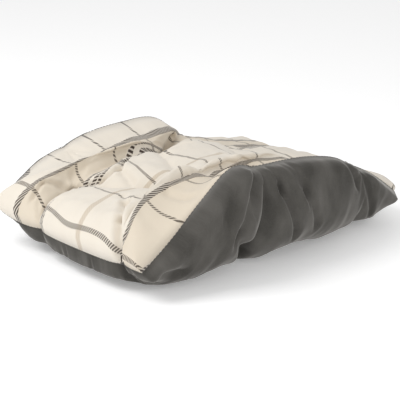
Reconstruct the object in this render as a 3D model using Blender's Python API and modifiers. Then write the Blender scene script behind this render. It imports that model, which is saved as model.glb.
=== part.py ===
"""Tufted pet cushion bed: two long sides curl up, two short ends stay low.

Frame: +X along the length, +Y across, +Z up, origin on the floor under the
middle.  The side at -Y stands higher than the one at +Y.
Every surface is written over a square sheet: p runs from -1 to 1 along the
length and q from -1 to 1 across, and both reach 1 at the perimeter seam.
"""
import math

import bmesh
import bpy
from mathutils import Matrix, Vector
from mathutils.bvhtree import BVHTree

# ---- driving dimensions, metres
SEAM_HALF_LENGTH = 0.306
SEAM_HALF_WIDTH = 0.195
CORNER_PULL = 0.06          # how much the corners are drawn in
WALL_SPAN = 0.092           # width of the strip at each long side that curls up
BASE_HALF_WIDTH = SEAM_HALF_WIDTH - WALL_SPAN
MID_HEIGHT = 0.062          # middle of the padding above the floor
WALL_CURL = math.radians(98)
WALL_RISE = 0.107           # seam of a long side above MID_HEIGHT, where it is full
END_DROP = 0.012            # seam of a short end below MID_HEIGHT
TOP_LOFT = 0.062            # padding above its middle surface
UNDER_LOFT = 0.080          # padding below it, before the floor flattens it
WALL_LOFT = 0.050           # padding outside it at the top of a raised side
TOP_ROUND = (0.050, 0.070)  # distance over which the top swells from the seam: ends, sides
UNDER_ROUND = (0.045, 0.070)
UNDER_BULGE = 0.016         # how far the underside stands out past the seam
TOP_BULGE = 0.006
WALL_SAG = 0.020            # how far a raised side leans out below its seam
WALL_THINNING = 0.45        # part of the top padding lost on a raised side
FLOOR_CLEAR = 0.012         # lift of the underside at a tie
FLOOR_CLEAR_REACH = 0.050

FABRIC = 0.0012             # thickness of either cover
SEAM_RADIUS = 0.0016
COVER_EDGE = 0.0030         # cover edges stand this far from the middle surface
FILL_SETBACK = 0.0058       # filling inside the outer face of a cover
RIM_SETBACK = 0.6           # how far the filling stops short of the seam, in half cells
CORNER_SETBACK = 1.6        # the same at a corner
CORNER_TURN = math.radians(120)
TRIM_CLEAR = 0.0024         # gap between the seam and the closing stitch outside it
TACK_CLEAR = 0.0044         # the same at a pinch, where the seam turns inwards

# ---- shares of the full rise or loft at places along the length
NEAR_RISE = [(-1, 0), (-0.79, 0.36), (-0.59, 0.80), (-0.39, 1.18), (-0.12, 1.10),
             (0.2, 1.02), (0.45, 0.86), (0.64, 0.60), (0.87, 0.24), (1, 0)]
FAR_RISE = [(-1, 0), (-0.9, 0.38), (-0.8, 0.56), (-0.5, 0.86), (-0.1, 0.98), (0.2, 0.90),
            (0.42, 0.44), (0.6, 0.24), (0.85, 0.10), (1, 0)]
TOP_FULL = [(-1, 1.0), (-0.7, 1.1), (-0.4, 1.36), (0.2, 1.34), (0.6, 0.72), (1, 0.5)]

# ---- the flat panels that the covers are cut from
CLOTH_HALF_LENGTH = SEAM_HALF_LENGTH + 0.039    # surplus that the padding takes up
CLOTH_HALF_WIDTH = SEAM_HALF_WIDTH + 0.100

# ---- where the bed is drawn in, (x, y) in plan
TIE_INSET = 0.103           # ties inside the seam of the long sides
TIE_LINE = SEAM_HALF_WIDTH - TIE_INSET
TIE_SPOTS = [(-0.219, TIE_LINE), (-0.030, TIE_LINE), (0.142, TIE_LINE),
             (0.219, -TIE_LINE), (0.030, -TIE_LINE), (-0.114, -TIE_LINE)]
TIE_PULL = [0.45, 0.25, 0.35, 0.45, 0.25, 0.21]
UNDER_TIE_PULL = 0.66
PINCHES = [(-1.0, 0.47), (-1.0, -0.75), (0.36, 1.0), (-0.55, 1.0),
           (1.0, -0.50), (1.0, 0.52), (-0.215, -1.0), (0.58, -1.0)]
PINCH_FORCE = [1.0, 1.0, 0.9, 0.4, 1.0, 1.0, 0.9, 0.4]
PINCH_SHIFT = 0.014         # how far a pinch of full force draws the edge in
PINCH_PULL = 0.55
CREASE_PULL = 0.55
TIE_REACH = 0.045
PINCH_REACH = 0.040
SHIFT_REACH = 0.028
CREASE_REACH = 0.030
LOBE_PLACE, LOBE_REACH, LOBE_HEIGHT = (0.02, -0.62), (0.42, 0.22), 0.010

# ---- sheet divisions
CELLS = (28, 20)
TIE_HOLE = 0.0028
TIE_THREAD = 0.0010
KNOT_RADIUS = 0.0036
KNOT_HEIGHT = 0.0025
KNOT_LIFT = 0.0016
TACK_SIZE = (0.007, 0.0012, 0.0035)
CLOSING_SPAN = 0.35         # part of the far end closed by hand after filling
CLOSING_RADIUS = 0.0006


def sheet_coords(x, y):
    """Sheet coordinates of a tie, which lies on the flat base."""
    return x / SEAM_HALF_LENGTH, y / SEAM_HALF_WIDTH


TIES = [sheet_coords(x, y) for x, y in TIE_SPOTS]
TIE_A, TIE_B, TIE_C, TIE_D, TIE_E, TIE_F = TIES
END_1, END_2, FAR_1, FAR_2, END_3, END_4, NEAR_1, NEAR_2 = PINCHES
CREASES = [                 # start, end, strength on top, strength underneath
    (TIE_A, END_1, 1.0, 0.6), (TIE_F, END_2, 0.45, 0.3), (TIE_B, FAR_1, 1.0, 1.0),
    (TIE_A, FAR_2, 0.35, 0.3), (TIE_A, TIE_B, 0.85, 0.2), (TIE_A, TIE_F, 0.6, 0.2),
    (TIE_B, TIE_F, 0.35, 0.2), (TIE_B, TIE_C, 0.3, 0.2), (TIE_C, FAR_1, 0.3, 0.4),
    (TIE_D, END_3, 0.7, 0.5), (TIE_C, END_4, 0.4, 0.3), (TIE_E, NEAR_1, 0.25, 1.0),
    (TIE_D, NEAR_2, 0.35, 0.4), (TIE_D, TIE_E, 0.5, 0.2), (TIE_D, TIE_C, 0.4, 0.2),
    (TIE_E, TIE_C, 0.35, 0.2), (TIE_E, TIE_F, 0.3, 0.2), (TIE_F, NEAR_1, 0.3, 0.6),
]


def bounded(value, low=0.0, high=1.0):
    return min(high, max(low, value))


def through(points, x):
    """Smooth curve through a few points."""
    spans = list(zip(points, points[1:]))
    slopes = [(b[1] - a[1]) / (b[0] - a[0]) for a, b in spans]
    i = sum(1 for point in points[1:-1] if x > point[0])
    (x0, y0), (x1, y1) = spans[i]
    gap = x1 - x0
    slope0 = blended_slope(points, slopes, i)
    slope1 = blended_slope(points, slopes, i + 1)
    t = bounded((x - x0) / gap)
    start = (2 * t**3 - 3 * t**2 + 1) * y0 + (t**3 - 2 * t**2 + t) * gap * slope0
    end = (3 * t**2 - 2 * t**3) * y1 + (t**3 - t**2) * gap * slope1
    return start + end


def blended_slope(points, slopes, i):
    """Slope of the curve at one of its points, from the straight spans on either side."""
    if i == 0 or i == len(points) - 1:
        return slopes[min(i, len(slopes) - 1)]
    before = points[i][0] - points[i - 1][0]
    after = points[i + 1][0] - points[i][0]
    return (after * slopes[i - 1] + before * slopes[i]) / (before + after)


def plan(p, q):
    """Square sheet coordinates, with the corners drawn in a little."""
    return (p * math.sqrt(1 - CORNER_PULL * q * q / 2),
            q * math.sqrt(1 - CORNER_PULL * p * p / 2))


def curl_share(across):
    """How far up a long side a point lies, from 0 on the flat base to 1 at its seam."""
    base_end = BASE_HALF_WIDTH / SEAM_HALF_WIDTH
    return bounded((abs(across) - base_end) / (1 - base_end))


def raised_share(along, across):
    """Share of the full rise here, which passes from one long side to the other."""
    near = max(through(NEAR_RISE, along), 0)
    far = max(through(FAR_RISE, along), 0)
    side = bounded(across / 0.5, -1, 1) * 0.5 + 0.5
    return near + (far - near) * side * side * (3 - 2 * side)


def middle(p, q):
    """Middle surface of the padding: a flat base whose long sides curl up."""
    along, across = plan(p, q)
    raised = raised_share(along, across)
    curl = curl_share(across)
    wall_width = SEAM_HALF_WIDTH - BASE_HALF_WIDTH
    reach = curl * (1 - raised) + raised * math.sin(WALL_CURL * curl) / math.sin(WALL_CURL)
    y = SEAM_HALF_WIDTH * across
    if curl > 0:
        y = math.copysign(BASE_HALF_WIDTH + wall_width * reach, across)
    lift = (1 - math.cos(WALL_CURL * curl)) / (1 - math.cos(WALL_CURL))
    droop = bounded((abs(along) - 0.55) / 0.45) ** 2
    return Vector((SEAM_HALF_LENGTH * along, y,
                   MID_HEIGHT + WALL_RISE * lift * raised - END_DROP * droop))


def middle_normal(p, q):
    """Unit normal of the middle surface, on the side that a pet lies on."""
    step = 0.004
    p0, p1 = max(-1, p - step), min(1, p + step)
    q0, q1 = max(-1, q - step), min(1, q + step)
    along = middle(p1, q) - middle(p0, q)
    across = middle(p, q1) - middle(p, q0)
    return along.cross(across).normalized()


def cloth_place(p, q):
    """Place of a point on the flat panel, metres, for distances in the cloth."""
    along, across = plan(p, q)
    return Vector((along * CLOTH_HALF_LENGTH, across * CLOTH_HALF_WIDTH))


def segment_distance(point, start, end):
    run = end - start
    share = bounded((point - start).dot(run) / run.length_squared)
    return (point - start - share * run).length


def fading(away, reach):
    return math.exp(-away / reach)


def drawn_in(p, q, side):
    """How far the padding is pulled together here, from 0 (full) to 1."""
    here = cloth_place(p, q)
    pull = 0.0
    for tie, force in zip(TIES, TIE_PULL):
        force = force if side > 0 else UNDER_TIE_PULL
        pull = max(pull, force * fading((here - cloth_place(*tie)).length, TIE_REACH))
    for pinch in PINCHES:
        pull = max(pull, PINCH_PULL * fading((here - cloth_place(*pinch)).length, PINCH_REACH))
    for start, end, top, under in CREASES:
        force = CREASE_PULL * (top if side > 0 else under)
        away = segment_distance(here, cloth_place(*start), cloth_place(*end))
        pull = max(pull, force * fading(away, CREASE_REACH))
    return pull


def swell(p, q, rounding):
    """Round rise of the padding from the seam, 0 at the seam and 1 inside."""
    rises = []
    for place, half, reach in ((p, CLOTH_HALF_LENGTH, rounding[0]),
                               (q, CLOTH_HALF_WIDTH, rounding[1])):
        share = bounded((1 - abs(place)) * half / reach)
        rises.append(max(math.sqrt(1 - (1 - share) ** 2), 0.001))
    return (rises[0] ** -4 + rises[1] ** -4 - 1) ** -0.25


def loft_at(p, q, side):
    """Full depth of the padding on one side of its middle surface."""
    along, across = plan(p, q)
    curl = curl_share(across)
    if side < 0:
        return UNDER_LOFT + (WALL_LOFT - UNDER_LOFT) * curl
    loft = TOP_LOFT * through(TOP_FULL, along) * (1 - WALL_THINNING * curl)
    away_p = (p - LOBE_PLACE[0]) / LOBE_REACH[0]
    away_q = (q - LOBE_PLACE[1]) / LOBE_REACH[1]
    return loft + LOBE_HEIGHT * math.exp(-away_p**2 - away_q**2)


def pinch_shift(p, q):
    """Move of the edge towards the middle of the bed round its pinches."""
    here = cloth_place(p, q)
    force = max(share * fading((here - cloth_place(*pinch)).length, SHIFT_REACH)
                for pinch, share in zip(PINCHES, PINCH_FORCE))
    centre = middle(p, q)
    core = Vector((centre.x * 0.6, centre.y * 0.3, MID_HEIGHT))
    return (core - centre).normalized() * PINCH_SHIFT * force


def edge_point(p, q):
    """Place of the middle surface at the seam, pinches included."""
    return middle(p, q) + pinch_shift(p, q)


def outer_point(p, q, side):
    """Point of the outer face of the top (side 1) or of the underside (side -1)."""
    rise = swell(p, q, TOP_ROUND if side > 0 else UNDER_ROUND)
    half = loft_at(p, q, side) * rise * (1 - drawn_in(p, q, side))
    point = middle(p, q) + middle_normal(p, q) * side * max(COVER_EDGE, half)
    ends = math.copysign(abs(p) ** 6, p)
    sides = math.copysign(abs(q) ** 6, q)
    belly = 4 * rise * (1 - rise) * (1 - abs(p * q) ** 4)
    if side > 0:
        point.x += ends * TOP_BULGE * belly
        return point + pinch_shift(p, q)
    curl = curl_share(plan(p, q)[1])
    sag = WALL_SAG * math.sin(math.pi * bounded(curl / 0.85)) * bounded(1.4 * (1 - abs(p)))
    point.x += ends * UNDER_BULGE * belly * 0.5
    point.y += sides * UNDER_BULGE * belly * 1.3 + math.copysign(sag, q)
    point += pinch_shift(p, q)
    nearest = min((cloth_place(p, q) - cloth_place(*tie)).length for tie in TIES)
    point.z = max(point.z, FLOOR_CLEAR * bounded(1 - nearest / FLOOR_CLEAR_REACH))
    return point


def lay_sheet(shape, side, inset=0.0):
    """Add a sheet that follows one side of the padding, inset along its own normals."""
    made = bmesh.ops.create_grid(shape, x_segments=CELLS[0], y_segments=CELLS[1], size=1)
    verts = made["verts"]
    for p, q in TIES + PINCHES:
        nearest = min(verts, key=lambda vert: math.hypot(vert.co.x - p, vert.co.y - q))
        nearest.co = (p, q, 0)
    for vert in verts:
        vert.co = outer_point(vert.co.x, vert.co.y, side)
    faces = list({face for vert in verts for face in vert.link_faces})
    if side < 0:
        bmesh.ops.reverse_faces(shape, faces=faces)
    bmesh.ops.triangulate(shape, faces=faces, quad_method="SHORT_EDGE")
    shape.normal_update()
    normals = [vert.normal.copy() for vert in verts]
    for vert, normal in zip(verts, normals):
        vert.co -= normal * inset


def new_collection(name):
    collection = bpy.data.collections.new(name)
    bpy.context.scene.collection.children.link(collection)
    return collection


def material(name, colour, roughness):
    made = bpy.data.materials.new(name)
    made.use_nodes = True
    shader = made.node_tree.nodes["Principled BSDF"]
    shader.inputs["Base Color"].default_value = (*colour, 1)
    shader.inputs["Roughness"].default_value = roughness
    shader.inputs["Metallic"].default_value = 0.0
    return made


def add_mesh(name, shape, collection, surface=None):
    mesh = bpy.data.meshes.new(name)
    shape.to_mesh(mesh)
    shape.free()
    obj = bpy.data.objects.new(name, mesh)
    collection.objects.link(obj)
    if surface:
        mesh.materials.append(surface)
    return obj


def cut_with(obj, cutters):
    for cutter in cutters:
        cut = obj.modifiers.new("cut " + cutter.name, "BOOLEAN")
        cut.operation = "DIFFERENCE"
        cut.object = cutter


def make_cover(name, side, surface, collection, cutters):
    """A cover is a sheet laid over the padding and given its thickness inwards."""
    shape = bmesh.new()
    lay_sheet(shape, side)
    obj = add_mesh(name, shape, collection, surface)
    thick = obj.modifiers.new("thickness", "SOLIDIFY")
    thick.thickness = FABRIC
    thick.offset = -1
    cut_with(obj, cutters)
    obj.data.shade_smooth()
    return obj


def is_corner(vert):
    """True where the rim turns sharply."""
    rims = [edge.other_vert(vert).co - vert.co for edge in vert.link_edges if edge.is_boundary]
    return rims[0].angle(rims[1]) < CORNER_TURN


def draw_back(shape):
    """Move the rims in along their own faces, so that the filling stops short of the seam."""
    moves = []
    for vert in shape.verts:
        if vert.is_boundary:
            centres = [face.calc_center_median() for face in vert.link_faces]
            inner = sum(centres, Vector()) / len(centres)
            share = CORNER_SETBACK if is_corner(vert) else RIM_SETBACK
            moves.append((vert, vert.co.lerp(inner, share)))
    for vert, place in moves:
        vert.co = place


def make_fill(surface, collection, cutters):
    """The filling follows both covers from inside and is closed along the seam."""
    shape = bmesh.new()
    lay_sheet(shape, 1, FILL_SETBACK)
    lay_sheet(shape, -1, FILL_SETBACK)
    rims = [edge for edge in shape.edges if edge.is_boundary]
    draw_back(shape)
    bmesh.ops.bridge_loops(shape, edges=rims)
    bmesh.ops.recalc_face_normals(shape, faces=shape.faces)
    obj = add_mesh("fibre_fill", shape, collection, surface)
    cut_with(obj, cutters)
    obj.data.shade_smooth()
    return obj


def make_cutter(index, tie, collection):
    """Bore through the covers and the filling for one tie."""
    foot = middle(*tie)
    shape = bmesh.new()
    bmesh.ops.create_cone(shape, cap_ends=True, segments=10, radius1=TIE_HOLE,
                          radius2=TIE_HOLE, depth=0.3)
    obj = add_mesh(f"tie_bore_{index}", shape, collection)
    obj.location = (foot.x, foot.y, foot.z)
    obj.hide_render = True
    obj.display_type = "WIRE"
    return obj


def knot_level(foot, side):
    """Height at which a knot clears the cover that it draws down, at one tie."""
    shape = bmesh.new()
    lay_sheet(shape, side)
    tree = BVHTree.FromBMesh(shape)
    shape.free()
    levels = []
    for step in range(8):
        turn = math.tau * step / 8
        rim = Vector((math.cos(turn), math.sin(turn), 0)) * KNOT_RADIUS
        start = Vector((foot.x, foot.y, 0.5 * side)) + rim
        levels.append(tree.ray_cast(start, Vector((0, 0, -side)))[0].z)
    return max(levels) + KNOT_LIFT if side > 0 else min(levels) - KNOT_LIFT


def make_tie(index, tie, surface, collection):
    """A tie is a thread through the bed with a knot at each end, turned about Z."""
    foot = middle(*tie)
    high = knot_level(foot, 1)
    low = knot_level(foot, -1)
    profile = [(0, high + KNOT_HEIGHT), (KNOT_RADIUS, high + KNOT_HEIGHT / 2), (KNOT_RADIUS, high),
               (TIE_THREAD, high), (TIE_THREAD, low), (KNOT_RADIUS, low),
               (KNOT_RADIUS, low - KNOT_HEIGHT / 2), (0, low - KNOT_HEIGHT)]
    shape = bmesh.new()
    verts = [shape.verts.new((r, 0, z)) for r, z in profile]
    for start, end in zip(verts, verts[1:]):
        shape.edges.new((start, end))
    obj = add_mesh(f"tuft_tie_{index}", shape, collection, surface)
    obj.location = (foot.x, foot.y, 0)
    turn = obj.modifiers.new("turn", "SCREW")
    turn.steps = 10
    turn.render_steps = 10
    turn.use_merge_vertices = True
    turn.merge_threshold = 0.00005
    turn.use_normal_calculate = True
    return obj


def divisions(cells, places):
    """Even divisions from -1 to 1, the nearest one moved onto each given place."""
    marks = [2 * i / cells - 1 for i in range(cells + 1)]
    for place in places:
        nearest = min(range(cells + 1), key=lambda i: abs(marks[i] - place))
        marks[nearest] = place
    return marks


def side_divisions(cells, axis, edge):
    """Divisions along one edge of the sheet, with its pinches among them."""
    places = [pinch[axis] for pinch in PINCHES if pinch[1 - axis] == edge]
    return divisions(cells, places)


def seam_points():
    """Points round the perimeter seam, at the divisions of the covers."""
    near = [(p, -1.0) for p in side_divisions(CELLS[0], 0, -1)[:-1]]
    right = [(1.0, q) for q in side_divisions(CELLS[1], 1, 1)[:-1]]
    far = [(p, 1.0) for p in side_divisions(CELLS[0], 0, 1)[1:]]
    left = [(-1.0, q) for q in side_divisions(CELLS[1], 1, -1)[1:]]
    ring = near + right + far[::-1] + left[::-1]
    return [edge_point(p, q) for p, q in ring]


def tube(name, points, radius, closed, surface, collection, fineness=1):
    curve = bpy.data.curves.new(name, "CURVE")
    curve.dimensions = "3D"
    curve.bevel_depth = radius
    curve.bevel_resolution = fineness
    curve.use_fill_caps = True
    spline = curve.splines.new("POLY")
    spline.points.add(len(points) - 1)
    for place, point in zip(spline.points, points):
        place.co = (*point, 1)
    spline.use_cyclic_u = closed
    obj = bpy.data.objects.new(name, curve)
    collection.objects.link(obj)
    curve.materials.append(surface)
    return obj


def outward(p, q):
    """Direction away from the bed in the middle surface at a seam point."""
    inner = middle(p * 0.97, q) if abs(p) == 1 else middle(p, q * 0.97)
    return (middle(p, q) - inner).normalized()


def make_tack(index, pinch, surface, collection):
    """A bar tack sewn over the seam where the edge is pinched."""
    p, q = pinch
    away = outward(p, q)
    up = middle_normal(p, q)
    along = away.cross(up).normalized()
    up = along.cross(away).normalized()
    shape = bmesh.new()
    bmesh.ops.create_cube(shape, size=1)
    bmesh.ops.scale(shape, vec=TACK_SIZE, verts=shape.verts)
    obj = add_mesh(f"edge_tack_{index}", shape, collection, surface)
    centre = edge_point(p, q) + away * (SEAM_RADIUS + TACK_CLEAR + TACK_SIZE[1] / 2)
    turn = Matrix((along, away, up)).transposed()
    obj.matrix_world = Matrix.Translation(centre) @ turn.to_4x4()
    soft = obj.modifiers.new("soft", "BEVEL")
    soft.width = 0.0004
    soft.segments = 1
    return obj


def make_closing(surface, collection):
    """Thread that closes the filling opening in the middle of the far end."""
    count = 12
    offset = SEAM_RADIUS + TRIM_CLEAR + CLOSING_RADIUS
    points = []
    for i in range(count + 1):
        q = CLOSING_SPAN * (2 * i / count - 1)
        points.append(edge_point(1, q) + outward(1.0, q) * offset)
    return tube("closing_stitch", points, CLOSING_RADIUS, False, surface, collection)


def build():
    for obj in list(bpy.data.objects):
        bpy.data.objects.remove(obj)
    bed = new_collection("pet_cushion_bed")
    tools = new_collection("cutters")
    plaid = material("plaid_twill", (0.82, 0.76, 0.66), 0.9)
    velvet = material("grey_velvet", (0.090, 0.085, 0.075), 0.85)
    fibre = material("polyester_fibre", (0.9, 0.9, 0.9), 0.95)
    thread = material("cream_thread", (0.75, 0.70, 0.60), 0.8)
    grey_thread = material("grey_thread", (0.12, 0.11, 0.10), 0.8)

    bores = [make_cutter(i + 1, tie, tools) for i, tie in enumerate(TIES)]
    make_cover("top_cover", 1, plaid, bed, bores)
    make_cover("bottom_cover", -1, velvet, bed, bores)
    make_fill(fibre, bed, bores)
    for i, tie in enumerate(TIES):
        make_tie(i + 1, tie, thread, bed)
    tube("perimeter_seam", seam_points(), SEAM_RADIUS, True, grey_thread, bed)
    for i, pinch in enumerate(PINCHES):
        make_tack(i + 1, pinch, grey_thread, bed)
    make_closing(grey_thread, bed)


build()
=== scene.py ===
"""Looks of the tufted pet cushion bed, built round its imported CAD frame.

Both covers are sheets over the same square of coordinates: p runs from -1 to 1
along the length and q from -1 to 1 across, and both reach 1 at the seam.
Lengths are in metres.
"""
import math

import bpy
import numpy as np
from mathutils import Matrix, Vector, noise

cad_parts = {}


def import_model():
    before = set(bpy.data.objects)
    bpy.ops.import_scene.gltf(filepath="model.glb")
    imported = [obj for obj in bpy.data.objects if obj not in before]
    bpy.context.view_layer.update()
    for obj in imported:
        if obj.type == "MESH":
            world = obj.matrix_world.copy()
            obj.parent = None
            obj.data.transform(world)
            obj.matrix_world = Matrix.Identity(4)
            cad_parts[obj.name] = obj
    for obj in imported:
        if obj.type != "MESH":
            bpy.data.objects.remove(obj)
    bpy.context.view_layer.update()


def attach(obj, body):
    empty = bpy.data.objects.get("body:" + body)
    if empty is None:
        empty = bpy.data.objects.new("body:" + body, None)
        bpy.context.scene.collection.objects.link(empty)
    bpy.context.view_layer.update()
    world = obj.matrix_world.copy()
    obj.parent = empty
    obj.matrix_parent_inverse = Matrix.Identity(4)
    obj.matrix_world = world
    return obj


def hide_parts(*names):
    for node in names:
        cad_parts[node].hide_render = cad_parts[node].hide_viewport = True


# ---- size and posture of the padding
HALF_LENGTH, HALF_WIDTH = 0.306, 0.195      # seam, in plan
CORNER_PULL = 0.06
BASE_HALF_WIDTH = 0.103
MID_HEIGHT = 0.062
WALL_CURL = math.radians(98)
WALL_RISE = 0.107
END_DROP = 0.012
TOP_LOFT, UNDER_LOFT, WALL_LOFT = 0.062, 0.080, 0.050
TOP_ROUND = (0.050, 0.070)                  # at the ends, at the sides
UNDER_ROUND = (0.045, 0.070)
UNDER_BULGE, TOP_BULGE, WALL_SAG = 0.016, 0.006, 0.020
FABRIC = 0.0014
END_LIFT, END_LIFT_START = (0.021, 0.012), 0.76      # underside off the floor at -X and +X
FAR_SLIM = 0.35                             # share of the outer padding left on the far side
FAR_ROUND = 0.040                           # edge of the padding on its inner side
FAR_SWELL = 0.2                             # share of the near side's sag and bulge
WALL_THINNING = 0.35                        # share of the top padding lost up a long side
EDGE_POWER = 6                              # keeps the bulges close to the seam
BELLY_SHARE = (0.3, 1.3, 0)                 # the bulge underneath: lengthwise, across, up
SAG_END, SAG_FADE = 0.85, 1.4               # where up the wall the sag ends, and its fading
FLOOR_GAP, FLOOR_SOFTNESS = 0.0006, 0.004
TIE_HOLLOW, TIE_HOLLOW_REACH = 0.014, 0.05  # underside lifted off the floor round a tie

# ---- share of the full rise or loft at places along the length
NEAR_RISE = [(-1, 0), (-0.79, 0.36), (-0.59, 0.80), (-0.39, 1.18), (-0.12, 1.10),
             (0.2, 1.02), (0.45, 0.86), (0.64, 0.60), (0.87, 0.24), (1, 0)]
FAR_RISE = [(-1, 0), (-0.9, 0.38), (-0.8, 0.56), (-0.5, 0.86), (-0.1, 0.98), (0.2, 0.90),
            (0.42, 0.44), (0.6, 0.24), (0.85, 0.10), (1, 0)]
FAR_FULL = [(-1, 1.0), (-0.8, 1.6), (-0.5, 1.4), (-0.1, 1.2), (0.15, 1.1), (0.4, 0.8),
            (0.7, 0.8), (1, 1.0)]
TOP_FULL = [(-1, 1.0), (-0.7, 1.1), (-0.4, 1.36), (0.2, 1.34), (0.6, 0.72), (1, 0.5)]

# ---- flat panels
CLOTH_HALF_LENGTH, CLOTH_HALF_WIDTH = 0.345, 0.295
CELLS_LONG, CELLS_ACROSS = 200, 170

# ---- ties, in plan, and how far each draws the top in
TIE_PLACES = [(-0.219, 0.090), (-0.030, 0.092), (0.142, 0.092),
              (0.219, -0.090), (0.030, -0.092), (-0.114, -0.092)]
TIES = [(x / HALF_LENGTH, y / HALF_WIDTH) for x, y in TIE_PLACES]
TIE_PULL = [0.45, 0.25, 0.35, 0.45, 0.25, 0.21]
TIE_A, TIE_B, TIE_C, TIE_D, TIE_E, TIE_F = TIES
UNDER_TIE_PULL = 0.66
TIE_REACH, PINCH_REACH, CREASE_REACH = 0.045, 0.040, 0.030
EDGE_PULL = 0.55                            # share of the padding a pinch or a full crease takes

# ---- places where the edge is pinched in
PINCHES = [(-1.0, 0.47), (-1.0, -0.75), (0.36, 1.0), (-0.55, 1.0),
           (1.0, -0.50), (1.0, 0.52), (-0.215, -1.0), (0.58, -1.0)]
PINCH_FORCE = [1.0, 1.0, 0.9, 0.4, 1.0, 1.0, 0.9, 0.4]
END_1, END_2, FAR_1, FAR_2, END_3, END_4, NEAR_1, NEAR_2 = PINCHES
SQUEEZE_REACH, SQUEEZE_MOVE = 0.028, 0.014  # how a pinch draws the seam itself inward
SQUEEZE_AIM = (0.6, 0.3, 0.055)             # share of x, share of y, and height it draws to

# ---- creases between them: start, end, strength on top, strength underneath
CREASES = [
    (TIE_A, END_1, 1.0, 0.6), (TIE_F, END_2, 0.45, 0.3), (TIE_B, FAR_1, 1.0, 1.0),
    (TIE_A, FAR_2, 0.2, 0.3), (TIE_A, TIE_B, 0.45, 0.2), (TIE_A, TIE_F, 0.6, 0.2),
    (TIE_B, TIE_F, 0.35, 0.2), (TIE_B, TIE_C, 0.3, 0.2), (TIE_C, FAR_1, 0.3, 0.4),
    (TIE_D, END_3, 0.7, 0.5), (TIE_C, END_4, 0.4, 0.3), (NEAR_1, (-0.34, -0.50), 0.1, 1.0),
    (TIE_D, NEAR_2, 0.35, 0.4), (TIE_D, TIE_E, 0.5, 0.2), (TIE_D, TIE_C, 0.4, 0.2),
    (TIE_E, TIE_C, 0.35, 0.2), (TIE_E, TIE_F, 0.3, 0.2), (TIE_F, NEAR_1, 0.3, 0.6),
]
# ---- lobes that stand above the rest of the top: p, q, reach, reach, height
LOBES = [(0.02, -0.62, 0.42, 0.22, 0.028), (-0.74, -0.72, 0.22, 0.20, 0.032),
         (-0.45, -0.68, 0.20, 0.20, 0.030), (-0.60, 0.64, 0.24, 0.17, 0.016),
         (-0.20, 0.64, 0.20, 0.16, 0.014)]

# ---- folds that run from the seam down the grey wall: start, end, width, depth
WALL_FOLDS = [
    ((-0.25, -1.0), (-0.47, -0.82), 0.009, 0.010), ((-0.47, -0.82), (-0.26, -0.64), 0.010, 0.012),
    ((-0.147, -1.0), (-0.13, -0.92), 0.006, 0.006), ((-0.13, -0.92), (-0.02, -0.767), 0.007, 0.009),
    ((-0.013, -1.0), (0.04, -0.90), 0.007, 0.007), ((0.04, -0.90), (0.14, -0.775), 0.006, 0.006),
    ((-0.06, -1.0), (0.05, -0.86), 0.005, 0.004), ((0.407, -1.0), (0.527, -0.908), 0.007, 0.006),
    ((0.627, -1.0), (0.707, -0.95), 0.006, 0.005), ((-0.36, -1.0), (-0.56, -0.93), 0.010, 0.005),
    ((-0.30, -0.98), (-0.36, -0.86), 0.005, 0.004), ((0.58, -1.0), (0.74, -0.83), 0.010, 0.005),
]
END_FOLDS = [
    ((-0.98, -0.74), (-0.93, -0.68), 0.007, 0.008), ((-1.0, -0.33), (-0.96, -0.30), 0.006, 0.005),
    ((-1.0, 0.10), (-0.95, 0.14), 0.007, 0.004), ((-1.0, 0.78), (-0.95, 0.74), 0.006, 0.004),
    ((-1.0, -0.82), (-0.93, -0.74), 0.007, 0.005), ((-0.93, -0.96), (-0.80, -0.86), 0.009, 0.006),
    ((-0.75, -1.0), (-0.70, -0.86), 0.012, 0.004), ((1.0, -0.75), (0.93, -0.72), 0.008, 0.005),
    ((1.0, 0.2), (0.95, 0.15), 0.007, 0.005), ((1.0, -0.1), (0.94, -0.15), 0.007, 0.004),
    ((0.1, 1.0), (0.0, 0.85), 0.008, 0.006), ((0.5, 1.0), (0.62, 0.84), 0.008, 0.006),
    ((-0.3, 1.0), (-0.36, 0.84), 0.008, 0.005), ((0.25, 1.0), (0.2, 0.80), 0.007, 0.005),
]
TOP_FOLDS = [
    ((-0.98, -0.74), (-0.88, -0.56), 0.009, 0.012), ((-0.88, -0.56), (-0.75, -0.36), 0.010, 0.009),
    ((-0.75, -0.36), (-0.70, -0.24), 0.010, 0.004), (TIE_A, (-0.853, 0.633), 0.006, 0.005),
    ((-0.853, 0.633), (-0.93, 0.60), 0.006, 0.005), (TIE_A, (-0.60, 0.29), 0.008, 0.008),
    ((-0.60, 0.29), (-0.49, 0.26), 0.008, 0.010), ((-0.49, 0.26), (-0.38, 0.35), 0.007, 0.009),
    ((-0.38, 0.35), TIE_B, 0.007, 0.010), ((-0.49, 0.26), (-0.52, 0.02), 0.009, 0.006),
    (TIE_B, (0.03, 0.62), 0.008, 0.012), ((0.03, 0.62), (0.20, 0.86), 0.009, 0.010),
    (TIE_B, (0.08, 0.30), 0.012, 0.004), ((-0.56, -1.0), (-0.60, -0.86), 0.010, 0.004),
    (TIE_A, (-0.80, 0.36), 0.007, 0.006), ((-0.80, 0.36), (-0.90, 0.36), 0.008, 0.004),
    ((-0.13, -0.33), (-0.05, -0.52), 0.014, 0.006), ((0.30, -0.28), (0.20, -0.48), 0.012, 0.005),
]
RIDGE_SHARE, RIDGE_WIDTH = 0.6, 1.9         # low ridges beside a fold, against its valley
RADIAL_FOLDS, RADIAL_HEIGHT, RADIAL_REACH = 9, 0.0011, 0.014
SOFT_WAVE = 0.0028
SEAM_FREEDOM = 1.6                          # how soon past the seam a cover can fold

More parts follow.
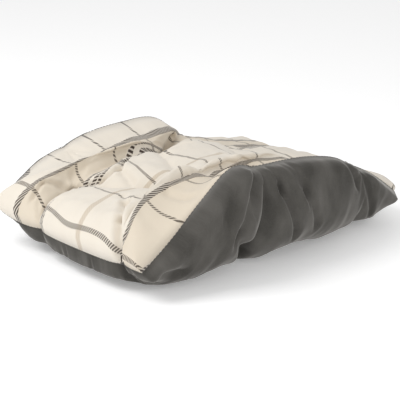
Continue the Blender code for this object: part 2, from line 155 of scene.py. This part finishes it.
# ---- how far the plaid is slid over the surface: p, q, slip along, slip across (half panels)
SLIPS = [
    (-0.87, 0.72, -0.06, -0.08), (-0.64, 0.63, -0.04, 0.04), (-0.40, 0.90, 0.0, -0.28),
    (-0.41, 0.37, 0.02, 0.02), (-0.09, 0.95, -0.04, -0.30), (-0.06, 0.59, -0.06, -0.22),
    (0.25, 0.98, -0.07, -0.30), (-0.98, -0.72, 0.02, 0.06), (-0.74, -0.86, 0.05, 0.26),
    (-0.46, -0.85, 0.06, 0.24), (-0.20, -0.85, 0.04, 0.12), (-0.98, -0.30, 0.01, 0.08),
    (-0.73, -0.08, 0.05, -0.07), (-0.98, 0.30, 0.0, 0.0), (-0.90, -1.05, 0.02, 0.0),
    (-0.60, -1.05, 0.02, 0.0), (-0.35, -1.05, 0.02, 0.0), (0.6, 0.0, 0.0, 0.0),
    (0.8, -0.8, 0.0, 0.0), (0.8, 0.8, 0.0, -0.1), (0.1, 0.0, 0.0, 0.0),
]
SLIP_REACH = 0.19

# ---- plaid: lines along the bed sit across it, and the other way round
ALONG_LINES = [(0.903, 0.0050), (0.640, 0.0145), (0.414, 0.0080), (0.359, 0.0080),
               (0.331, 0.0045), (-0.649, 0.0145), (-0.924, 0.0055)]
PALE_BAND = (-0.167, 0.0130)
SHADED_BANDS = [(0.430, 0.625), (-0.915, -0.665)]
CROSS_START, CROSS_STEP, CROSS_WIDTH, CROSS_COUNT = -0.945, 0.272, 0.0050, 8
TWILL_PITCH, RIB_PITCH = 0.0062, 0.0017     # hatch strokes of a dark line, ribs of the weave

# ---- filling, seam and ties
FILL_SHARE = 0.60                           # of the space between the covers
FILL_STEP = 4                               # cells of the covers to one of the filling
STITCH_STEP, STITCH_SHARE, STITCH_RADIUS = 0.0070, 0.62, 0.0006
CLOSING_SPAN = 0.35
KNOT_REACH, KNOT_THREAD = 0.0050, 0.0009
KNOT_STAND, KNOT_LIFT, KNOT_TURNS = 0.0012, 0.0016, (0.5, 2.0)
TACK_REACH, TACK_STITCHES = 0.0022, 3       # half its length, stitches each side of the pinch
CLOSING_REACH = 0.0018
CREAM_THREAD, GREY_THREAD = (0.72, 0.66, 0.55), (0.12, 0.11, 0.10)


# ---------------------------------------------------------------- shape

def sheet_coords():
    return np.meshgrid(np.linspace(-1, 1, CELLS_LONG + 1), np.linspace(-1, 1, CELLS_ACROSS + 1),
                       indexing="ij")


def through(points, x):
    """Smooth curve through a few points."""
    place = np.array([a for a, b in points], float)
    value = np.array([b for a, b in points], float)
    slope = np.gradient(value, place)
    i = np.clip(np.searchsorted(place, x) - 1, 0, len(place) - 2)
    gap = place[i + 1] - place[i]
    t = np.clip((x - place[i]) / gap, 0, 1)
    start = (2 * t**3 - 3 * t**2 + 1) * value[i] + (t**3 - 2 * t**2 + t) * gap * slope[i]
    end = (3 * t**2 - 2 * t**3) * value[i + 1] + (t**3 - t**2) * gap * slope[i + 1]
    return start + end


def plan(p, q):
    return (p * np.sqrt(1 - CORNER_PULL * q * q / 2),
            q * np.sqrt(1 - CORNER_PULL * p * p / 2))


def curl_share(across):
    """How far up a long side a point lies, from 0 on the base to 1 at the seam."""
    base_end = BASE_HALF_WIDTH / HALF_WIDTH
    return np.clip((np.abs(across) - base_end) / (1 - base_end), 0, 1)


def middle(p, q):
    """Middle surface of the padding: a flat base whose long sides curl up."""
    along, across = plan(p, q)
    near = np.maximum(through(NEAR_RISE, along), 0)
    far = np.maximum(through(FAR_RISE, along), 0)
    side = np.clip(across / 0.5, -1, 1) * 0.5 + 0.5
    raised = near + (far - near) * side * side * (3 - 2 * side)
    curl = curl_share(across)
    reach = curl * (1 - raised) + raised * np.sin(WALL_CURL * curl) / math.sin(WALL_CURL)
    wall = BASE_HALF_WIDTH + (HALF_WIDTH - BASE_HALF_WIDTH) * reach
    y = np.where(curl > 0, np.sign(across) * wall, HALF_WIDTH * across)
    lift = (1 - np.cos(WALL_CURL * curl)) / (1 - math.cos(WALL_CURL))
    droop = np.clip((np.abs(along) - 0.55) / 0.45, 0, 1) ** 2
    z = MID_HEIGHT + WALL_RISE * lift * raised - END_DROP * droop
    return np.stack([HALF_LENGTH * along, y, z], -1)


def middle_normal(p, q):
    step = 0.004
    p0, p1 = np.maximum(-1, p - step), np.minimum(1, p + step)
    q0, q1 = np.maximum(-1, q - step), np.minimum(1, q + step)
    normal = np.cross(middle(p1, q) - middle(p0, q), middle(p, q1) - middle(p, q0))
    return normal / np.linalg.norm(normal, axis=-1, keepdims=True)


def cloth_place(p, q):
    """Place of a point on the flat panel, in metres."""
    along, across = plan(p, q)
    return np.stack([along * CLOTH_HALF_LENGTH, across * CLOTH_HALF_WIDTH], -1)


def cloth_spot(spot):
    return cloth_place(np.array(spot[0]), np.array(spot[1]))


def distance(cloth, start, end=None):
    """Distance in the cloth to a spot, or to the line between two spots."""
    start = cloth_spot(start)
    if end is None:
        return np.linalg.norm(cloth - start, axis=-1)
    run = cloth_spot(end) - start
    share = np.clip(((cloth - start) @ run) / (run @ run), 0, 1)
    return np.linalg.norm(cloth - start - share[..., None] * run, axis=-1)


def swell(p, q, rounding):
    """Round rise of the padding from the seam, 0 at the seam and 1 inside."""
    rises = []
    sides = ((p, CLOTH_HALF_LENGTH, rounding[0]), (q, CLOTH_HALF_WIDTH, rounding[1]))
    for place, half, reach in sides:
        share = np.clip((1 - np.abs(place)) * half / reach, 0, 1)
        rises.append(np.maximum(np.sqrt(1 - (1 - share) ** 2), 0.001))
    return (rises[0] ** -4 + rises[1] ** -4 - 1) ** -0.25


def drawn_in(cloth, side):
    """How far the padding is pulled together, from 0 to 1, on top (1) or underneath (-1)."""
    pull = np.zeros(cloth.shape[:-1])
    for tie, force in zip(TIES, TIE_PULL):
        force = force if side > 0 else UNDER_TIE_PULL
        pull = np.maximum(pull, force * np.exp(-distance(cloth, tie) / TIE_REACH))
    for pinch in PINCHES:
        pull = np.maximum(pull, EDGE_PULL * np.exp(-distance(cloth, pinch) / PINCH_REACH))
    for start, end, top, under in CREASES:
        force = EDGE_PULL * (top if side > 0 else under)
        pull = np.maximum(pull, force * np.exp(-distance(cloth, start, end) / CREASE_REACH))
    return pull


def fold_depth(cloth, folds):
    """Depth of narrow folds, each a valley with a low ridge on both sides."""
    depth = np.zeros(cloth.shape[:-1])
    for start, end, width, deep in folds:
        away = distance(cloth, start, end) / width
        valley = (1 + RIDGE_SHARE) * np.exp(-away ** 2)
        depth += deep * (valley - RIDGE_SHARE * np.exp(-(away / RIDGE_WIDTH) ** 2))
    return depth


def radial_folds(cloth, spots, seed):
    """Small gathers that run out from the ties and the pinches."""
    height = np.zeros(cloth.shape[:-1])
    for i, spot in enumerate(spots):
        arm = cloth - cloth_spot(spot)
        reach = np.linalg.norm(arm, axis=-1)
        turn = np.arctan2(arm[..., 1], arm[..., 0])
        wave = np.sin(RADIAL_FOLDS * turn + 1.7 * i + seed) + 0.6 * np.sin(5 * turn + 2.3 * i + seed)
        height += wave * (reach / RADIAL_REACH) * np.exp(1 - reach / RADIAL_REACH)
    return height * RADIAL_HEIGHT


def soft_wave(cloth, scale, seed):
    """Slow unevenness of the filling, from -1 to 1."""
    flat = cloth.reshape(-1, 2) * scale
    values = [noise.noise((x, y, seed)) for x, y in flat]
    return np.array(values).reshape(cloth.shape[:-1])


def grid_normal(grid):
    along = np.gradient(grid, axis=0)
    across = np.gradient(grid, axis=1)
    normal = np.cross(along, across)
    return normal / (np.linalg.norm(normal, axis=-1, keepdims=True) + 1e-12)


def crumple(grid, cloth, side, folds, rise):
    """Move a cover along its own normal for folds, gathers and soft unevenness."""
    shift = -fold_depth(cloth, folds)
    shift += radial_folds(cloth, TIES + PINCHES, side)
    broad, fine = soft_wave(cloth, 22.0, side * 3.1), soft_wave(cloth, 50.0, side * 7.7)
    shift += SOFT_WAVE * broad + 0.5 * SOFT_WAVE * fine
    keep = np.clip(rise * SEAM_FREEDOM, 0, 1)
    return grid + grid_normal(grid) * (side * shift * keep)[..., None]


def surfaces():
    """Both covers as grids of places, with the flat cloth under each point.

    The plaid has its own cloth grid, slid by the slips.
    """
    p, q = sheet_coords()
    centre, normal, cloth = middle(p, q), middle_normal(p, q), cloth_place(p, q)
    along, across = plan(p, q)
    curl = curl_share(across)
    top_rise = swell(p, q, (TOP_ROUND[0], np.where(q > 0, FAR_ROUND, TOP_ROUND[1])))
    under_rise = swell(p, q, UNDER_ROUND)
    top_hold = top_rise * (1 - drawn_in(cloth, 1))
    under_hold = under_rise * (1 - drawn_in(cloth, -1))
    far = np.clip(across / 0.5, 0, 1) * curl
    top_loft = TOP_LOFT * through(TOP_FULL, along) * (1 - WALL_THINNING * curl)
    top_loft *= 1 + (through(FAR_FULL, along) - 1) * far
    for lobe_p, lobe_q, reach_p, reach_q, height in LOBES:
        away = -((p - lobe_p) / reach_p) ** 2 - ((q - lobe_q) / reach_q) ** 2
        top_loft += height * np.exp(away)
    under_loft = (UNDER_LOFT + (WALL_LOFT - UNDER_LOFT) * curl) * (1 - (1 - FAR_SLIM) * far)
    top = centre + normal * (top_loft * top_hold)[..., None]
    under = centre - normal * (under_loft * under_hold)[..., None]

    slim = np.where(q > 0, FAR_SWELL, 1.0)
    sag = slim * WALL_SAG * np.sin(np.pi * np.clip(curl / SAG_END, 0, 1))
    sag = sag * np.clip(SAG_FADE * (1 - np.abs(p)), 0, 1)
    under[..., 1] += np.sign(q) * sag
    edge = np.stack([np.sign(p) * np.abs(p) ** EDGE_POWER, np.sign(q) * np.abs(q) ** EDGE_POWER,
                     0 * p], -1)
    belly = 4 * UNDER_BULGE * under_rise * (1 - under_rise) * slim
    under += edge * belly[..., None] * np.array(BELLY_SHARE)
    top += edge * (4 * TOP_BULGE * top_rise * (1 - top_rise))[..., None] * np.array([1, 0, 0])

    squeeze = np.zeros_like(p)
    for pinch, force in zip(PINCHES, PINCH_FORCE):
        squeeze = np.maximum(squeeze, force * np.exp(-distance(cloth, pinch) / SQUEEZE_REACH))
    share_x, share_y, height = SQUEEZE_AIM
    core = np.stack([centre[..., 0] * share_x, centre[..., 1] * share_y, 0 * p + height], -1)
    inward = core - centre
    inward /= np.linalg.norm(inward, axis=-1, keepdims=True) + 1e-9
    move = inward * (SQUEEZE_MOVE * squeeze)[..., None]
    nearest = np.min([distance(cloth, tie) for tie in TIES], axis=0)
    top, under = top + move, under + move
    top = crumple(top, cloth, 1, TOP_FOLDS, top_rise)
    under = crumple(under, cloth, -1, WALL_FOLDS + END_FOLDS, under_rise)
    rest_on_floor(under, nearest, p)
    return cloth, slipped(p, q, cloth), top, under


def slipped(p, q, cloth):
    """Cloth coordinates that the plaid is drawn from, each slip felt mostly near its own spot."""
    weight, shift = 1e-3 * np.ones_like(p), np.zeros_like(cloth)
    for spot_p, spot_q, along, across in SLIPS:
        near = np.exp(-((p - spot_p) ** 2 + (q - spot_q) ** 2) / (2 * SLIP_REACH ** 2))
        weight += near
        shift += near[..., None] * np.array([along * CLOTH_HALF_LENGTH, across * CLOTH_HALF_WIDTH])
    return cloth + shift / weight[..., None]


def rest_on_floor(under, nearest, p):
    """The floor flattens the underside, except where a tie or a curled end lifts it."""
    floor = FLOOR_GAP + TIE_HOLLOW * np.clip(1 - nearest / TIE_HOLLOW_REACH, 0, 1)
    ramp = np.clip((np.abs(p) - END_LIFT_START) / (1 - END_LIFT_START), 0, 1) ** 1.5
    floor += ramp * np.where(p < 0, *END_LIFT)
    gap = (under[..., 2] - floor) / FLOOR_SOFTNESS
    rounded = np.log1p(np.exp(np.minimum(gap, 20)))
    under[..., 2] = floor + FLOOR_SOFTNESS * np.where(gap > 20, gap, rounded)


# ---------------------------------------------------------------- meshes

def grid_faces(index, flip):
    faces = np.stack([index[:-1, :-1], index[1:, :-1], index[1:, 1:], index[:-1, 1:]], -1)
    faces = faces.reshape(-1, 4)
    return faces[:, ::-1] if flip else faces


def mesh_object(name, places, faces, surface, cloth=None):
    mesh = bpy.data.meshes.new(name)
    mesh.from_pydata(places.tolist(), [], faces.tolist())
    mesh.update()
    mesh.shade_smooth()
    if cloth is not None:
        layer = mesh.uv_layers.new(name="cloth")
        corners = np.zeros(len(mesh.loops), np.int32)
        mesh.loops.foreach_get("vertex_index", corners)
        layer.data.foreach_set("uv", cloth[corners].astype(np.float32).ravel())
    obj = bpy.data.objects.new(name, mesh)
    bpy.context.scene.collection.objects.link(obj)
    mesh.materials.append(surface)
    return obj


def cover(name, grid, cloth, flip, surface):
    """One cover: its outer face, given the thickness of the fabric inwards."""
    index = np.arange(grid.shape[0] * grid.shape[1]).reshape(grid.shape[:2])
    obj = mesh_object(name, grid.reshape(-1, 3), grid_faces(index, flip), surface,
                      cloth.reshape(-1, 2))
    thick = obj.modifiers.new("fabric", "SOLIDIFY")
    thick.thickness = FABRIC
    thick.offset = -1
    return obj


def piece(obj, nodes):
    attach(obj, "root")
    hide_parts(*nodes)


def tube(name, strokes, radius, surface):
    """Round threads, one for each stroke of points, as one curve object."""
    curve = bpy.data.curves.new(name, "CURVE")
    curve.dimensions = "3D"
    curve.bevel_depth = radius
    curve.bevel_resolution = 2
    curve.use_fill_caps = True
    for stroke in strokes:
        spline = curve.splines.new("POLY")
        spline.points.add(len(stroke) - 1)
        for spot, point in zip(spline.points, stroke):
            spot.co = (*point, 1)
    obj = bpy.data.objects.new(name, curve)
    bpy.context.scene.collection.objects.link(obj)
    curve.materials.append(surface)
    return obj


# ---------------------------------------------------------------- materials

class Shader:
    """Short forms for building one node material."""

    def __init__(self, name):
        self.material = bpy.data.materials.new(name)
        self.material.use_nodes = True
        self.tree = self.material.node_tree
        self.surface = self.tree.nodes["Principled BSDF"]

    def node(self, kind, **settings):
        made = self.tree.nodes.new(kind)
        for key, value in settings.items():
            setattr(made, key, value)
        return made

    def link(self, source, target):
        self.tree.links.new(source, target)

    def math(self, operation, a, b=None, c=None):
        made = self.node("ShaderNodeMath", operation=operation)
        for socket, value in zip(made.inputs, (a, b, c)):
            if value is None:
                continue
            if isinstance(value, (int, float)):
                socket.default_value = value
            else:
                self.link(value, socket)
        return made.outputs[0]

    def mix(self, share, a, b):
        made = self.node("ShaderNodeMix", data_type="RGBA")
        for socket, value in ((made.inputs[0], share), (made.inputs[6], a), (made.inputs[7], b)):
            if isinstance(value, tuple):
                socket.default_value = (*value, 1)
            elif isinstance(value, (int, float)):
                socket.default_value = value
            else:
                self.link(value, socket)
        return made.outputs[2]

    def noise(self, vector, scale, detail=2.0):
        made = self.node("ShaderNodeTexNoise")
        made.inputs["Scale"].default_value = scale
        made.inputs["Detail"].default_value = detail
        self.link(vector, made.inputs["Vector"])
        return made.outputs[0]

    def band(self, coordinate, centre, width, soft=0.0004):
        """1 inside a band of the coordinate, with soft edges."""
        away = self.math("ABSOLUTE", self.math("SUBTRACT", coordinate, centre))
        inside = self.math("SUBTRACT", width / 2, away)
        return self.math("MULTIPLY_ADD", inside, 1 / soft, 0.5)

    def clamp(self, value):
        return self.math("MINIMUM", self.math("MAXIMUM", value, 0.0), 1.0)

    def bump(self, height, strength, reach, before=None):
        made = self.node("ShaderNodeBump")
        made.inputs["Strength"].default_value = strength
        made.inputs["Distance"].default_value = reach
        self.link(height, made.inputs["Height"])
        if before is not None:
            self.link(before, made.inputs["Normal"])
        return made.outputs[0]


def plaid_material():
    """Ivory twill with dark hatched lines, woven from the cloth coordinates in metres."""
    s = Shader("plaid_twill")
    where = s.node("ShaderNodeUVMap", uv_map="cloth").outputs[0]
    split = s.node("ShaderNodeSeparateXYZ")
    s.link(where, split.inputs[0])
    along, across = split.outputs[0], split.outputs[1]

    ivory, cream, beige = (0.74, 0.675, 0.58), (0.66, 0.575, 0.455), (0.53, 0.44, 0.33)
    brown, brown_soft = (0.030, 0.021, 0.016), (0.085, 0.062, 0.047)
    colour = s.mix(s.noise(where, 9.0), ivory, (0.78, 0.725, 0.64))
    for low, high in SHADED_BANDS:
        middle_line, width = (low + high) / 2 * CLOTH_HALF_WIDTH, (high - low) * CLOTH_HALF_WIDTH
        mask = s.band(across, middle_line, width, 0.002)
        colour = s.mix(s.math("MULTIPLY", s.clamp(mask), 0.75), colour, cream)

    diagonal = s.math("ADD", along, across)
    twill = s.math("FRACT", s.math("DIVIDE", diagonal, TWILL_PITCH))
    from_centre = s.math("ABSOLUTE", s.math("SUBTRACT", twill, 0.5))
    stroke = s.clamp(s.math("MULTIPLY_ADD", from_centre, -9.0, 3.1))
    other = s.math("SUBTRACT", along, across)
    herring = s.math("FRACT", s.math("DIVIDE", other, TWILL_PITCH))
    pale = s.clamp(s.band(across, PALE_BAND[0] * CLOTH_HALF_WIDTH, PALE_BAND[1], 0.0008))
    tint = s.math("MULTIPLY", pale, s.math("MULTIPLY_ADD", herring, 0.35, 0.45))
    colour = s.mix(tint, colour, beige)

    dark = None
    for place, width in ALONG_LINES:
        line = s.clamp(s.band(across, place * CLOTH_HALF_WIDTH, width))
        dark = line if dark is None else s.math("MAXIMUM", dark, line)
    for i in range(CROSS_COUNT):
        place = (CROSS_START + CROSS_STEP * i) * CLOTH_HALF_LENGTH
        line = s.clamp(s.band(along, place, CROSS_WIDTH))
        dark = s.math("MAXIMUM", dark, s.math("MULTIPLY", line, 0.85))
    hatch = s.math("MULTIPLY", dark, s.math("MULTIPLY_ADD", stroke, 0.88, 0.16))
    fray = s.math("MULTIPLY_ADD", s.noise(where, 700.0), 0.4, 0.80)
    shade = s.mix(s.noise(where, 60.0), brown, brown_soft)
    colour = s.mix(s.clamp(s.math("MULTIPLY", hatch, fray)), colour, shade)
    s.link(colour, s.surface.inputs["Base Color"])

    rib = s.math("PINGPONG", s.math("DIVIDE", diagonal, RIB_PITCH), 0.5)
    fuzz = s.noise(where, 900.0, 3.0)
    rough = s.bump(s.noise(where, 45.0, 3.0), 0.18, 0.004)
    height = s.math("MULTIPLY_ADD", fuzz, 0.7, rib)
    s.link(s.bump(height, 0.30, 0.0006, rough), s.surface.inputs["Normal"])
    s.surface.inputs["Roughness"].default_value = 0.92
    s.surface.inputs["Sheen Weight"].default_value = 0.25
    s.surface.inputs["Sheen Roughness"].default_value = 0.5
    s.surface.inputs["Specular IOR Level"].default_value = 0.2
    return s.material


def velvet_material():
    """Short grey velvet pile: darker where it is brushed one way, bright at grazing light."""
    s = Shader("grey_velvet")
    where = s.node("ShaderNodeUVMap", uv_map="cloth").outputs[0]
    patches = s.noise(where, 17.0, 4.0)
    nap = s.clamp(s.math("MULTIPLY_ADD", patches, 3.6, -1.3))
    colour = s.mix(nap, (0.040, 0.037, 0.032), (0.098, 0.092, 0.083))
    speck = s.noise(where, 650.0, 2.0)
    colour = s.mix(s.math("MULTIPLY", speck, 0.35), colour, (0.14, 0.135, 0.125))
    s.link(colour, s.surface.inputs["Base Color"])
    brushed = s.bump(s.noise(where, 38.0, 3.0), 0.22, 0.004)
    s.link(s.bump(speck, 0.25, 0.0005, brushed), s.surface.inputs["Normal"])
    s.surface.inputs["Roughness"].default_value = 0.78
    s.surface.inputs["Sheen Weight"].default_value = 0.55
    s.surface.inputs["Sheen Roughness"].default_value = 0.35
    s.surface.inputs["Sheen Tint"].default_value = (0.62, 0.60, 0.57, 1)
    s.surface.inputs["Specular IOR Level"].default_value = 0.15
    return s.material


def thread_material(name, colour):
    s = Shader(name)
    spot = s.node("ShaderNodeTexCoord").outputs["Object"]
    twist = s.noise(spot, 1500.0, 1.0)
    dim = tuple(c * 0.6 for c in colour)
    s.link(s.mix(twist, dim, colour), s.surface.inputs["Base Color"])
    s.link(s.bump(twist, 0.4, 0.0003), s.surface.inputs["Normal"])
    s.surface.inputs["Roughness"].default_value = 0.7
    s.surface.inputs["Sheen Weight"].default_value = 0.2
    return s.material


def fibre_material():
    s = Shader("polyester_fibre")
    spot = s.node("ShaderNodeTexCoord").outputs["Object"]
    strands = s.noise(spot, 260.0, 5.0)
    s.link(s.mix(strands, (0.78, 0.78, 0.77), (0.93, 0.93, 0.93)), s.surface.inputs["Base Color"])
    s.link(s.bump(strands, 0.6, 0.003), s.surface.inputs["Normal"])
    s.surface.inputs["Roughness"].default_value = 0.95
    return s.material


# ---------------------------------------------------------------- stage

VIEW_TURN, VIEW_RISE, VIEW_DISTANCE = math.radians(-42), math.radians(18.9), 2.6
VIEW_WIDTH = 0.7228         # metres that the picture spans at the bed
AIM_ACROSS, AIM_UP = -0.0045, 0.0542
FLOOR_GLOW = 0.22           # keeps the paper under the bed as pale as the backdrop


def make_camera():
    ahead = Vector((-math.sin(VIEW_TURN), math.cos(VIEW_TURN), 0))
    right = Vector((math.cos(VIEW_TURN), math.sin(VIEW_TURN), 0))
    look = ahead * math.cos(VIEW_RISE) - Vector((0, 0, math.sin(VIEW_RISE)))
    up = right.cross(look)
    camera = bpy.data.objects.new("camera", bpy.data.cameras.new("camera"))
    bpy.context.scene.collection.objects.link(camera)
    camera.data.sensor_width = 36
    camera.data.lens = 36 * VIEW_DISTANCE / VIEW_WIDTH
    camera.location = right * AIM_ACROSS + up * AIM_UP - look * VIEW_DISTANCE
    camera.rotation_mode = "QUATERNION"
    camera.rotation_quaternion = look.to_track_quat("-Z", "Y")
    bpy.context.scene.camera = camera


def area_light(name, place, target, size, watts):
    light = bpy.data.objects.new(name, bpy.data.lights.new(name, "AREA"))
    bpy.context.scene.collection.objects.link(light)
    light.data.energy = watts
    light.data.size = size
    light.location = place
    light.rotation_euler = (Vector(target) - Vector(place)).to_track_quat("-Z", "Y").to_euler()


def make_stage():
    bpy.ops.mesh.primitive_plane_add(size=30, location=(0, 0, 0))
    floor = bpy.context.object
    floor.name = "floor"
    s = Shader("floor")
    s.surface.inputs["Base Color"].default_value = (0.97, 0.97, 0.97, 1)
    s.surface.inputs["Roughness"].default_value = 0.9
    s.surface.inputs["Emission Color"].default_value = (1, 1, 1, 1)
    s.surface.inputs["Emission Strength"].default_value = FLOOR_GLOW
    floor.data.materials.append(s.material)
    bpy.context.scene.view_settings.view_transform = "Standard"
    world = bpy.data.worlds.new("studio")
    bpy.context.scene.world = world
    world.use_nodes = True
    world.node_tree.nodes["Background"].inputs[0].default_value = (1, 1, 1, 1)
    world.node_tree.nodes["Background"].inputs[1].default_value = 0.62
    area_light("key", (-1.3, 0.5, 1.7), (0, 0, 0.1), 1.2, 20)
    area_light("front", (-1.0, -2.2, 1.3), (0, 0, 0.1), 1.6, 15)


# ---------------------------------------------------------------- build

def edge_ring(grid):
    """Points round the rim of a grid, in order."""
    return np.concatenate([grid[:-1, 0], grid[-1, :-1], grid[:0:-1, -1], grid[0, :0:-1]])


def resampled(points, step):
    """A closed line of points, cut again at even steps."""
    loop = np.vstack([points, points[:1]])
    run = np.concatenate([[0], np.cumsum(np.linalg.norm(np.diff(loop, axis=0), axis=1))])
    places = np.arange(0, run[-1], step)
    return np.stack([np.interp(places, run, loop[:, k]) for k in range(3)], -1)


def make_fill(top, under, surface):
    """The filling: the same form as the covers, held a little inside them."""
    coarse = (slice(None, None, FILL_STEP), slice(None, None, FILL_STEP))
    upper, lower = top[coarse][1:-1, 1:-1], under[coarse][1:-1, 1:-1]
    centre = (upper + lower) / 2
    upper = centre + (upper - centre) * FILL_SHARE
    lower = centre + (lower - centre) * FILL_SHARE
    rows, columns = upper.shape[:2]
    index = np.arange(rows * columns).reshape(rows, columns)
    low_index = index + rows * columns
    faces = [grid_faces(index, False), grid_faces(low_index, True)]
    rim, low_rim = edge_ring(index), edge_ring(low_index)
    faces.append(np.stack([rim, low_rim, np.roll(low_rim, -1), np.roll(rim, -1)], -1))
    places = np.concatenate([upper.reshape(-1, 3), lower.reshape(-1, 3)])
    return mesh_object("filling", places, np.concatenate(faces), surface)


def make_seam(ring, surface):
    """Stitches of grey thread, sunk into the edge where the covers meet."""
    stitches = resampled(ring, STITCH_STEP)
    pairs = [np.array([a, a + (b - a) * STITCH_SHARE]) for a, b in zip(stitches, stitches[1:])]
    return tube("seam_stitches", pairs, STITCH_RADIUS, surface)


def make_knot(number, tie, top, under, surface):
    """One tie: crossed threads on top and underneath, and the thread through the bed."""
    p, q = sheet_coords()
    i, j = np.abs(p[:, 0] - tie[0]).argmin(), np.abs(q[0] - tie[1]).argmin()
    strands = [np.array([under[i, j], top[i, j]])]
    for grid, side in ((top, 1), (under, -1)):
        foot = grid[i, j] + np.array([0, 0, KNOT_STAND * side])
        lift = np.array([0, 0, KNOT_LIFT * side])
        for turn in KNOT_TURNS:
            arm = KNOT_REACH * np.array([math.cos(turn), math.sin(turn), 0.0])
            bend = [foot - arm / 2 + lift, foot + arm / 2 + lift]
            strands.append(np.array([foot - arm, *bend, foot + arm]))
    return tube(f"tie_knot_{number}", strands, KNOT_THREAD, surface)


def make_tack(number, pinch, ring, spots, surface):
    """A bar of close stitches over the edge where it is pinched."""
    k = int(np.abs(spots - np.array(pinch)).sum(axis=1).argmin())
    strands = []
    lift = np.array([0, 0, TACK_REACH])
    for step in range(-TACK_STITCHES, TACK_STITCHES + 1):
        here = ring[(k + step) % len(ring)]
        strands.append(np.array([here - lift, here + lift]))
    return tube(f"tack_{number}", strands, STITCH_RADIUS, surface)


def make_closing(ring, spots, surface):
    """Slanted hand stitches over the opening in the middle of the far end."""
    rows = [k for k in range(len(spots)) if spots[k][0] == 1 and abs(spots[k][1]) < CLOSING_SPAN]
    lift = np.array([0, 0, CLOSING_REACH])
    strands = [np.array([ring[a] - lift, ring[b] + lift]) for a, b in zip(rows[::2], rows[1::2])]
    return tube("closing_thread", strands, STITCH_RADIUS, surface)


def build():
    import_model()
    plaid, velvet = plaid_material(), velvet_material()
    cream = thread_material("cream_thread", CREAM_THREAD)
    grey = thread_material("grey_thread", GREY_THREAD)
    cloth, print_cloth, top, under = surfaces()
    top_cover = cover("plaid_top", top, print_cloth, False, plaid)
    piece(top_cover, ["top_cover"])
    bottom_cover = cover("velvet_underside", under, cloth, True, velvet)
    piece(bottom_cover, ["bottom_cover"])
    filling = make_fill(top, under, fibre_material())
    piece(filling, ["fibre_fill"])
    ring = (edge_ring(top) + edge_ring(under)) / 2
    piece(make_seam(ring, grey), ["perimeter_seam"])
    spots = edge_ring(np.stack(sheet_coords(), -1))
    for i, pinch in enumerate(PINCHES):
        tack = make_tack(i + 1, pinch, ring, spots, grey)
        piece(tack, [f"edge_tack_{i + 1}"])
    piece(make_closing(ring, spots, grey), ["closing_stitch"])
    for i, tie in enumerate(TIES):
        piece(make_knot(i + 1, tie, top, under, cream), [f"tuft_tie_{i + 1}"])
    make_camera()
    make_stage()


build()
